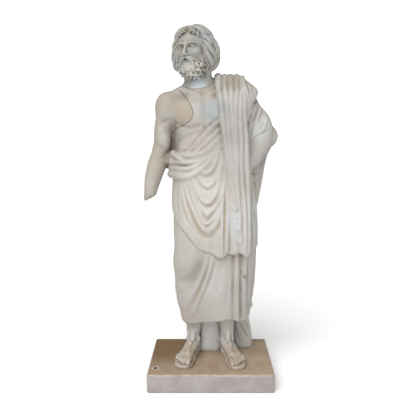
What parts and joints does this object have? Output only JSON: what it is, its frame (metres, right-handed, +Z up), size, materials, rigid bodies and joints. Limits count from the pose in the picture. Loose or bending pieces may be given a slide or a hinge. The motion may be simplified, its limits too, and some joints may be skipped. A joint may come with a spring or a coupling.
{
  "type": "standing marble statue of a bearded man",
  "caption": "Standing marble statue of a bearded man in a draped mantle on a low rectangular plinth, with a broken right forearm and a separately set head and arm.",
  "frame": {"origin": "centre of the plinth's underside, where the statue rests on the floor", "axes": "+Z up along the figure, +X to the viewer's right when facing the statue, +Y from the viewer towards its back"},
  "size_m": [0.7203, 0.44, 1.8986],
  "materials": {
    "body_marble": "worn",
    "arm_marble": "worn",
    "head_marble": "worn",
    "plinth_marble": "matte"
  },
  "bodies": {
    "root": {"draped_body": "body_marble", "right_arm": "arm_marble", "head": "head_marble", "plinth": "plinth_marble"}
  },
  "joints": []
}
